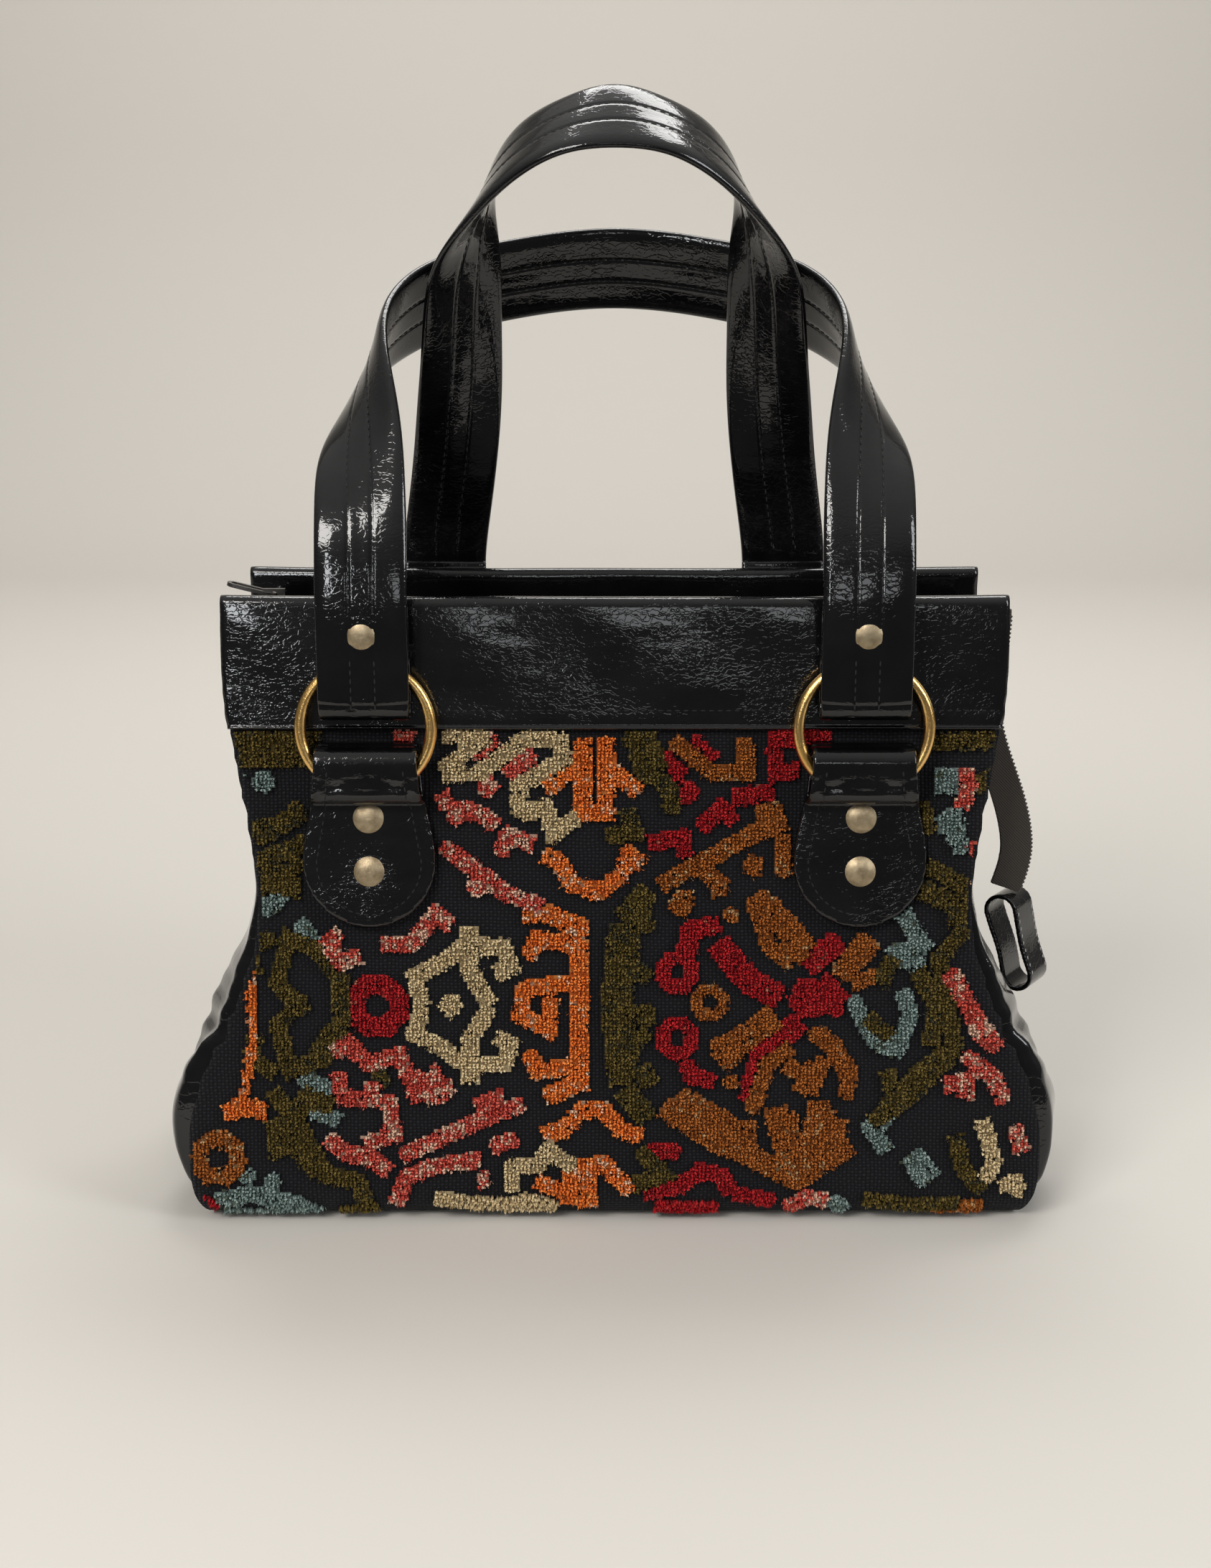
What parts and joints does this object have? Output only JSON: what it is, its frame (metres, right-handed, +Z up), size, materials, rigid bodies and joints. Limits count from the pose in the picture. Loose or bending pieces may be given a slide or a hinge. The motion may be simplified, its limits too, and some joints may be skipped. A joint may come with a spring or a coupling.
{
  "type": "shoulder bag",
  "caption": "Patent-trimmed handbag with a pile-patterned carpet panel, two strap handles on rings, three compartments and a zipped middle pocket.",
  "frame": {"origin": "centre of the base, on the plane that it rests on", "axes": "+X to the right seen from the patterned front, +Y to the back, +Z up"},
  "size_m": [0.36, 0.1363, 0.4404],
  "materials": {
    "patent": "black crackle-coated patent, glossy",
    "panel_cloth": "charcoal basket weave ground",
    "pile_cream": "chenille pile",
    "pile_coral": "chenille pile",
    "pile_orange": "chenille pile",
    "pile_olive": "chenille pile",
    "pile_rust": "chenille pile",
    "pile_red": "chenille pile",
    "pile_teal": "chenille pile",
    "gold": "polished gold-plated wire",
    "old_brass": "brushed antique brass",
    "gunmetal": "dark plated zip metal",
    "zip_cloth": "dark brown zip tape",
    "lining_cloth": "black lining",
    "board": "stiffener board"
  },
  "bodies": {
    "bag": {"front_band": "patent", "back_band": "patent", "gusset_left": "patent", "gusset_right": "patent", "base_panel": "patent", "zip_end_tab": "patent", "tab_front_left": "patent", "tab_front_right": "patent", "tab_back_left": "patent", "tab_back_right": "patent", "front_panel": "panel_cloth", "back_panel": "panel_cloth", "pile_cream": "pile_cream", "pile_coral": "pile_coral", "pile_orange": "pile_orange", "pile_olive": "pile_olive", "pile_rust": "pile_rust", "pile_red": "pile_red", "pile_teal": "pile_teal", "tab_rivets_front": "old_brass", "tab_rivets_back": "old_brass", "zip_teeth": "gunmetal", "zip_tape_front": "zip_cloth", "zip_tape_back": "zip_cloth", "zip_tail": "zip_cloth", "front_lining": "lining_cloth", "back_lining": "lining_cloth", "pocket_wall_front": "lining_cloth", "pocket_wall_back": "lining_cloth", "base_board": "board"},
    "front_rings": {"ring_front_left": "gold", "ring_front_right": "gold"},
    "front_handle": {"handle_front": "patent", "strap_rivets_front": "old_brass"},
    "back_rings": {"ring_back_left": "gold", "ring_back_right": "gold"},
    "back_handle": {"handle_back": "patent", "strap_rivets_back": "old_brass"},
    "zip_slider": {"zip_slider": "gunmetal"},
    "zip_pull": {"zip_pull": "gunmetal"}
  },
  "joints": [
    {"name": "front_rings_swing", "type": "hinge", "parent": "bag", "child": "front_rings", "pos_m": [0, -0.05092, 0.18067], "axis": [1, 0, 0], "range_deg": [0, 2]},
    {"name": "front_handle_swing", "type": "hinge", "parent": "front_rings", "child": "front_handle", "pos_m": [0, -0.04874, 0.22273], "axis": [-1, 0, 0], "range_deg": [0, 10]},
    {"name": "back_rings_swing", "type": "hinge", "parent": "bag", "child": "back_rings", "pos_m": [0, 0.05092, 0.18067], "axis": [-1, 0, 0], "range_deg": [0, 1.5]},
    {"name": "back_handle_swing", "type": "hinge", "parent": "back_rings", "child": "back_handle", "pos_m": [0, 0.04874, 0.22273], "axis": [1, 0, 0], "range_deg": [0, 10]},
    {"name": "zip_slide", "type": "slide", "parent": "bag", "child": "zip_slider", "axis": [1, 0, 0], "range_m": [0, 0.25]},
    {"name": "zip_pull_flip", "type": "hinge", "parent": "zip_slider", "child": "zip_pull", "pos_m": [-0.137, 0, 0.24469], "axis": [0, 1, 0], "range_deg": [0, 120]}
  ]
}
